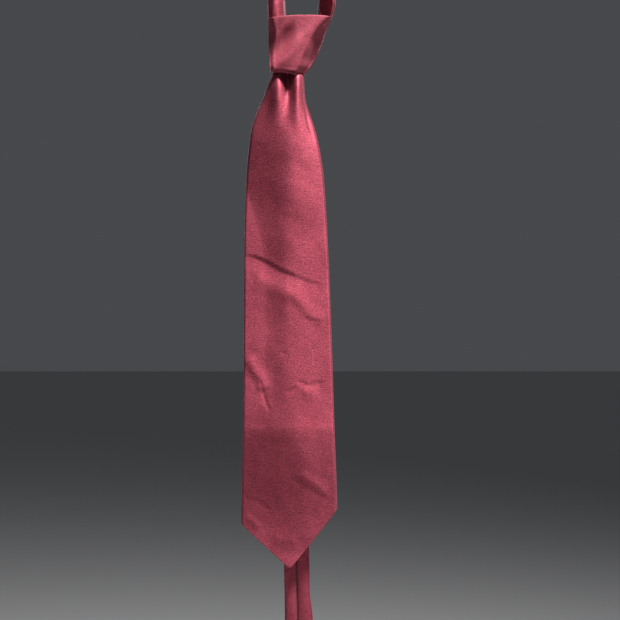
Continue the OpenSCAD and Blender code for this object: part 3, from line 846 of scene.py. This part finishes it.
def tube_section(side, d):
    """Across one cloth tube: from its turned-in front edge, round the outside, to its back edge."""
    half_w, half_t, front = strand_wall(side, d)
    inner, back = -half_w, float(zip_gap(d)) - half_w
    line = [(inner + 2.6, front(inner + 2.6) - 1.0), (inner + 1.0, front(inner + 1) - 0.95),
            (inner + 0.15, half_t - 0.75), (inner, half_t - 0.45), (inner + 0.35, half_t - 0.08)]
    line += [(w, front(w)) for w in np.linspace(inner + 1.3, half_w - half_t, 6)]
    line += [(half_w - half_t + half_t * math.cos(a), half_t * math.sin(a))
             for a in np.radians([55, 25, 0, -25, -55])]
    line += [(w, -half_t) for w in np.linspace(half_w - half_t, back + 1.2, 4)]
    line += [(back + 0.3, 0.1 - half_t), (back, 0.45 - half_t), (back + 0.35, 0.8 - half_t),
             (back + 2.0, 0.9 - half_t)]
    return through(line, 52)


def lining_section(side, d):
    """Interlining folded in two inside the tube."""
    half_w, half_t, front = strand_wall(side, d)
    inner, outer = 3.3 - half_w, half_w - 0.9 * half_t
    there = [(w, front(w) - 0.55) for w in np.linspace(inner, outer - 0.6, 5)]
    back = [(w, front(w) - 1.2) for w in np.linspace(outer - 0.6, inner, 5)]
    return through(there + [(outer, front(outer) - 0.9)] + back, 22)


def tape_section(side, d):
    """Zip tape: flat from the teeth to the tube's outer edge, where it is turned over."""
    half_w = float(strand_half_w[side](d))
    inner, outer = 1.1 - half_w - float(zip_reach(d)), half_w - 1.1
    line = [(w, -0.6) for w in np.linspace(inner, outer, 7)]
    return through(line + [(outer + 0.3, -0.25), (outer, 0.05), (outer - 2.3, 0.1)], 26)


def strand_cloth(name, side, section_of, stretch, step, thickness, look, nodes, bend):
    """A cloth along a strand over a stretch of d. bend is its two bodies and a stretch of d between them,
    handed on but not bending the cloth.
    """
    ds = np.linspace(*stretch, int((stretch[1] - stretch[0]) / step))
    sections = np.stack([section_of(side, d) for d in ds])
    wrinkle = 0.10 * soft_noise(sections[..., 0] + 40 * side, ds[:, None], 9, 21 + side)
    points = strand_points(side, ds[:, None] + 0 * wrinkle, sections[..., 0], sections[..., 1] + wrinkle)
    material, slot = look
    obj = cloth_grid(name, points[:, ::-1] if side == RIGHT else points, thickness, material)
    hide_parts(*nodes)
    bend_between(obj, *bend)


def coil(side, top_d, low_d):
    """One row of zip teeth: a flattened coil of nylon wire along the strand's slit edge."""
    pitch, half_w, half_t, wire = 1.3, 1.15, 0.66, 0.3
    per_turn, sides = 9, 5
    theta = np.arange(0, (low_d - top_d) / pitch * per_turn) * 2 * math.pi / per_turn
    theta = theta + (math.pi if side == RIGHT else 0)
    radial = np.stack([np.cos(theta), np.sin(theta), 0 * theta], -1)
    rise = 0 * theta + pitch / (2 * math.pi)
    tangent = np.stack([-half_w * np.sin(theta), half_t * np.cos(theta), rise], -1)
    second = np.cross(tangent, radial)
    second /= np.linalg.norm(second, axis=1)[:, None]
    d = top_d + (theta - theta[0]) * pitch / (2 * math.pi)
    middle = np.stack([half_w * np.cos(theta), half_t * np.sin(theta), d], -1)
    turn = np.arange(sides) * 2 * math.pi / sides
    ring = middle[:, None] + wire * (radial[:, None] * np.cos(turn)[None, :, None]
                                     + second[:, None] * np.sin(turn)[None, :, None])
    inner = -strand_half_w[side](ring[..., 2]) - zip_reach(ring[..., 2]) + half_w + wire
    points = strand_points(side, ring[..., 2], ring[..., 0] + inner, ring[..., 1] - 0.62).reshape(-1, 3)
    return points, tube_faces(len(theta), sides, flip=side == LEFT)


def build_coil(name, side, top_d, low_d, nodes, bend):
    obj = join(name, [coil(side, top_d, low_d)], TEETH)
    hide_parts(*nodes)
    bend_between(obj, *bend)


def build_strands():
    neck = (("neck_loop", "strap"), TILT_D - 7, TILT_D + 8)
    tail = (("strap", "tail"), TAIL_BEND_D - 9, TAIL_BEND_D + 9)
    cloth, wool, tape = (SATIN_STRAP, "satin"), (WOOL, "interlining"), (ZIP_TAPE, "zip_tape")
    neck_top, seam, end = ARCH_TOP_D + 0.1, JUNCTION_D - 3, TAIL_D - 1.5
    for side, word in ((LEFT, "left"), (RIGHT, "right")):
        strand_cloth(f"neck_band_{word}_cloth", side, tube_section, (neck_top, seam), 1.1, 0.35, cloth,
                     [f"neck_band_{word}"], neck)
        strand_cloth(f"neck_interlining_{word}_wool", side, lining_section, (neck_top, seam), 2.0, 0.4, wool,
                     [f"neck_interlining_{word}"], neck)
        strand_cloth(f"neck_zip_tape_{word}_cloth", side, tape_section, (ZIP_TOP_D - STOP_H, seam), 1.2, 0.3,
                     tape, [f"neck_zip_tape_{word}"], neck)
        build_coil(f"neck_zip_coil_{word}", side, ZIP_TOP_D, seam, [f"neck_zip_teeth_{word}"], neck)
        strand_cloth(f"strap_{word}_cloth", side, tube_section, (seam - 0.5, end), 1.5, 0.35, cloth,
                     [f"strap_tube_{word}", f"tail_tube_{word}"], tail)
        strand_cloth(f"strap_interlining_{word}_wool", side, lining_section, (seam, end), 3.0, 0.4, wool,
                     [f"strap_interlining_{word}", f"tail_interlining_{word}"], tail)
        strand_cloth(f"strap_zip_tape_{word}_cloth", side, tape_section, (seam, end), 2.5, 0.3, tape,
                     [f"strap_zip_tape_{word}", f"tail_zip_tape_{word}"], tail)
        build_coil(f"strap_zip_coil_{word}", side, seam, ZIP_END_D,
                   [f"strap_zip_teeth_{word}", f"tail_zip_teeth_{word}"], tail)


def build_top_stops():
    """A small metal clip on the top of each row of teeth."""
    parts = []
    levels = ((-STOP_H, 0.8), (0.3 - STOP_H, 1), (-0.3, 1), (0, 0.8))
    for side in (LEFT, RIGHT):
        inner = float(-strand_half_w[side](ZIP_TOP_D) - zip_reach(ZIP_TOP_D))
        ring = np.array([(inner - 0.2, 0.2), (inner + 0.1, 0.45), (inner + 2.5, 0.45), (inner + 2.8, 0.2),
                         (inner + 2.8, -1.3), (inner + 2.5, -1.6), (inner + 0.1, -1.6), (inner - 0.2, -1.3)])
        middle = ring.mean(axis=0)
        points = []
        for above, size in levels:
            for w, t in middle + (ring - middle) * size:
                points.append(strand_points(side, np.array(ZIP_TOP_D + above), w, t))
        parts.append((np.array(points), tube_faces(len(levels), len(ring), flip=side == RIGHT)))
    attach(join("zip_top_stop_clips", parts, STEEL), "zip_metal", "neck_loop", "zip_top_stops")


def build_join_stitches():
    """Overcast thread across the seam where the two bands meet above the hook."""
    count, pitch, half_length, lift = 9, 1.35, 1.7, 0.28
    across = np.linspace(-1, 1, 7)
    angle = across * half_length / LOOP_R
    radius = LOOP_R + 2.0 + lift * (1 - across**2)
    x = LOOP_X + radius * np.sin(angle)
    d = ARCH_BOTTOM_D - radius * np.cos(angle)
    stitches = []
    for i in range(count):
        y = pitch * ((count - 1) / 2 - i) + 0.5 * across
        stitches.append(rod(place(x, y, d), 0.22 * MM))
    sew("neck_join_thread", stitches, "neck_loop", "neck_join_stitches")


def build_binding():
    """Cloth folded over the two tubes' ends, closed along the bottom, with stitches near its top edge."""
    half_w, half_t, low = 11.9, 2.75, TAIL_D - 0.2
    top = TAIL_D - BINDING_H
    rows = [(top + 2.0, -0.55, 1), (top + 0.8, -0.5, 1), (top + 0.15, -0.35, 1), (top, 0, 1),
            (top + 0.2, 0.2, 1)]
    rows += [(d, 0.25, 1) for d in np.linspace(top + 1.0, low - 2.2, 7)]
    rows += [(low - 1.2, 0.22, 0.9), (low - 0.5, 0.1, 0.62), (low - 0.1, -0.1, 0.3), (low, -0.3, 0.12)]
    turn = np.linspace(0, 2 * math.pi, 73) + math.pi / 2
    across, deep = squarish(np.cos(turn), 0.45), squarish(np.sin(turn), 0.8)
    grid = []
    for d, grow, thick in rows:
        x = strap_x(d) + (half_w + grow) * across
        y = (half_t + grow) * thick * deep
        grid.append(place(x, y + 0.12 * soft_noise(x, d, 6, 31), d))
    obj = cloth_grid("tail_binding_cloth", np.array(grid)[:, ::-1], 0.45, SATIN_STRAP)
    attach(obj, "satin", "tail", "tail_end_binding")
    count, pitch, length = 8, 2.6, 1.9
    along = np.linspace(0, length, 5)
    stitches = []
    for face in (-1, 1):
        y = face * (half_t + 0.28 + 0.1 * np.sin(along / length * math.pi))
        for i in range(count):
            x = strap_x(top + 3) - 9.2 + pitch * i + along
            stitches.append(rod(place(x, y, top + pitch), 0.17 * MM))
    sew("tail_binding_thread", stitches, "tail")


# ---------------------------------------------------------------- inside and behind the knot
def build_knot_back():
    """Panel sewn over the knot's back, its edges turned under, with a hand stitch every few millimetres."""
    ds = np.linspace(1.6, KNOT_H - 2.2, 42)
    share = np.linspace(0, 1, 49)
    d = ds[:, None] + 0 * share
    left, right = knot_left(d) + 2.2, knot_right(d) - 2.6
    x = left + (right - left) * share
    edge = np.minimum(np.minimum(x - left, right - x), np.minimum(d - ds[0], ds[-1] - d))
    y = KNOT_BACK + 0.25 + 0.55 * smooth(0, 1.1, edge) + 0.5 * smooth(0, 12, edge)
    y = y + 0.10 * soft_noise(x, d, 11, 41) * smooth(0, 3, edge)
    obj = cloth_grid("knot_back_cloth", place(x, y, d), 0.4, SATIN_KNOT)
    attach(obj, "satin", "knot", "knot_back_cover")
    across = np.linspace(-1, 1, 7)
    stitches = []
    for i in range(8):
        d = 4.5 + 5.2 * i
        for x, side in ((knot_left(d) + 2.2, 1), (knot_right(d) - 2.6, -1)):
            y = KNOT_BACK + 0.55 + 0.35 * (1 - across**2) + 0.15 * across
            stitches.append(rod(place(x + side * (0.25 + 0.9 * across), y, d + 0.5 * across), 0.2 * MM))
    sew("knot_back_thread", stitches, "knot", "knot_back_stitches")


def build_padding():
    """Folded wool that fills out the front of the knot."""
    turn = np.linspace(0, 2 * math.pi, 56, endpoint=False)
    across, deep = squarish(np.cos(turn), 0.8), squarish(np.sin(turn), 0.8)
    rows = []
    for share in np.linspace(0, 1, 26):
        d = 2.2 + share * (KNOT_H - 9)
        size = float(np.sqrt(np.clip(1 - (2 * share - 1) ** 10, 0.02, 1)))
        left, right = knot_left(d) + 6.0, knot_right(d) - 7.5
        front, back = knot_front(d) + 6.4, -5.2
        x = (left + right) / 2 + (right - left) / 2 * size * across
        y = (front + back) / 2 + (back - front) / 2 * size * deep
        rows.append(place(x, y + 0.15 * soft_noise(x, d, 5, 51), d))
    points = np.array(rows).reshape(-1, 3)
    obj = join("knot_padding_wool", [(points, tube_faces(len(rows), len(turn), flip=True))], WOOL)
    attach(obj, "interlining", "knot", "knot_padding")


# ---------------------------------------------------------------- inside and behind the blade
def blade_layer(name, rows, inset, depth, thickness, material, replaced, cols=60):
    """A sheet inside the blade, an inset in from its side edges and a depth behind its front."""
    grid = []
    for row in rows:
        left, right = left_edge(row) + inset, right_edge(row) - inset
        x = np.linspace(right, left, cols)
        d = row_d(x, row)
        y = blade_front(x, d) + depth + 0.12 * (crown_by_d(d) * tent(x, d))
        grid.append(np.stack([x, np.minimum(y, blade_back(x, d) - 0.9), d], -1))
    points = place_grid(np.array(grid))
    obj = cloth_grid(name, points, thickness, material)
    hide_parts(*replaced)
    return obj


def build_blade_inside():
    wool = blade_layer("blade_interlining_wool", np.linspace(54, TIP_D - 11, 150), 2.2, 0.75, 0.7, WOOL,
                       ["blade_interlining"])
    tip = blade_layer("blade_tipping_cloth", np.linspace(FLAP_FROM - 6, TIP_D - 6, 60), 5.0, 1.7, 0.25,
                      LINING, ["blade_tipping"])
    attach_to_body(tip, "blade")
    bend_between(wool, *THROAT_BEND)


def build_seam():
    """Slip stitches down the blade's back, and a bar tack where the two edges part."""
    along = np.linspace(-1, 1, 7)
    stitches = []
    for i in range(25):
        d = 62 + 12 * i
        x = TIP_X + 0.7 * along
        y = blade_back(x, d + 0 * x) + 0.12 + 0.25 * (1 - along**2)
        stitches.append(rod(place(x, y, d + 0.9 * along), 0.2 * MM))
    sew("blade_seam_thread", stitches, "blade", "blade_seam_stitches")
    bar_d, count, pitch = FLAP_FROM - 2, 19, 0.48
    stitches = []
    for i in range(count):
        x = TIP_X - 4.3 + pitch * i
        y = blade_back(x, bar_d) + 0.1 + 0.45 * (1 - along**2)
        stitches.append(rod(place(x + 0.15 * along, y, bar_d + 0.75 * along), 0.25 * MM))
    sew("blade_bar_tack_thread", stitches, "blade", "blade_bar_tack")


def build_keeper():
    """Folded band across the blade's back, tacked down at both ends."""
    half, height = 23.5, 14.6
    middle_d = KNOT_Z - (KEEPER_BOX[0][2] + KEEPER_BOX[1][2]) / 2
    section = through([(2.2, 0.95), (1.0, 0.95), (0.25, 0.85), (0, 0.5), (0.3, 0.12), (1.2, 0),
                       (height / 2, -0.1), (height - 1.2, 0), (height - 0.3, 0.12), (height, 0.5),
                       (height - 0.25, 0.85), (height - 1.0, 0.95), (height - 2.2, 0.95)], 30)
    xs = np.linspace(TIP_X + half, TIP_X - half, 56)
    lift = smooth(half, half - 7, np.abs(xs - TIP_X))
    y = blade_back(xs, middle_d + 0 * xs) + 1.2 + 0.75 * lift + 0.08 * soft_noise(xs, 0 * xs, 14, 61)
    points = place(xs[None, :], y[None, :] - section[:, 1:2], middle_d - height / 2 + section[:, :1])
    obj = cloth_grid("keeper_loop_cloth", points[:, ::-1], 0.35, SATIN_STRAP)
    attach(obj, "satin", "blade", "keeper_loop")
    down = np.linspace(-1, 1, 5)
    stitches = []
    for side in (LEFT, RIGHT):
        x = TIP_X + side * (half - 1.1)
        y = blade_back(x, middle_d) + 1.35 + 0.15 * (1 - down**2)
        for i in range(8):
            d = middle_d - height / 2 + 1.6 + 1.65 * i
            stitches.append(rod(place(x, y, d + 0.55 * down), 0.2 * MM))
    sew("keeper_thread", stitches, "blade")


# ---------------------------------------------------------------- correct CAD parts, with better finishes
def finish_cad_parts():
    """The moulded and stamped parts stay as they were packed."""
    for node, material in (("knot_former", PLASTIC), ("zip_slider", STEEL), ("slider_rivets", STEEL),
                           ("zip_bottom_stop", STEEL)):
        mesh = frame["nodes"][node].data
        mesh.materials.clear()
        mesh.materials.append(material)


# ---------------------------------------------------------------- studio
VIEW_WIDTH = 516.7
VIEW_X, VIEW_D = 17.5, 245.0
CAMERA_BACK = 1200.0
KNOT_FRONT_Y = -8
SENSOR = 36
FLOOR_HALF, FLOOR_DROP, FLOOR_GREY = 20.0, 0.6, 0.6
WORLD_COLOUR, WORLD_STRENGTH = (0.9, 0.93, 1.0, 1), 0.07
LIGHT_AIM = (0, 0, -0.22)
# Name, place and size in metres, watts, and spread in degrees.
LIGHTS = (("key", (0.65, -0.4, 1.6), 0.35, 84, 120),
          ("fill", (-0.9, -1.6, 0.1), 1.2, 0.3, 120),
          ("back", (-0.5, 1.7, 0.4), 1.2, 2.5, 60))


def add_object(name, data):
    obj = bpy.data.objects.new(name, data)
    bpy.context.collection.objects.link(obj)
    return obj


def build_camera():
    """Looks straight at the front; the view is VIEW_WIDTH millimetres wide at the knot's depth."""
    camera = add_object("camera", bpy.data.cameras.new("camera"))
    camera.data.sensor_width = SENSOR
    camera.data.lens = SENSOR * CAMERA_BACK / VIEW_WIDTH
    camera.location = place(VIEW_X, KNOT_FRONT_Y - CAMERA_BACK, VIEW_D)
    camera.rotation_euler = (math.pi / 2, 0, 0)
    bpy.context.scene.camera = camera


def build_floor():
    z = cad_low.z - FLOOR_DROP
    corners = [(FLOOR_HALF * x, FLOOR_HALF * y, z) for x, y in ((-1, -1), (1, -1), (1, 1), (-1, 1))]
    mesh = bpy.data.meshes.new("floor")
    mesh.from_pydata(corners, [], [(0, 1, 2, 3)])
    paint = Nodes("floor_paint")
    paint.shader.inputs["Base Color"].default_value = grey(FLOOR_GREY)
    paint.shader.inputs["Roughness"].default_value = 0.9
    mesh.materials.append(paint.material)
    add_object("floor", mesh)


def add_light(name, location, size, power, spread):
    light = bpy.data.lights.new(name, "AREA")
    light.shape = "SQUARE"
    light.size = size
    light.energy = power
    light.spread = math.radians(spread)
    obj = add_object(name, light)
    obj.location = location
    obj.rotation_euler = (Vector(LIGHT_AIM) - Vector(location)).to_track_quat("-Z", "Y").to_euler()


def build_studio():
    build_camera()
    build_floor()
    world = bpy.data.worlds.new("studio")
    world.use_nodes = True
    background = world.node_tree.nodes["Background"].inputs
    background["Color"].default_value = WORLD_COLOUR
    background["Strength"].default_value = WORLD_STRENGTH
    bpy.context.scene.world = world
    bpy.context.scene.view_settings.view_transform = "Standard"
    for light in LIGHTS:
        add_light(*light)


build_studio()
build_blade()
build_blade_inside()
build_seam()
build_keeper()
build_knot()
build_knot_back()
build_padding()
build_strands()
build_top_stops()
build_join_stitches()
build_binding()
finish_cad_parts()
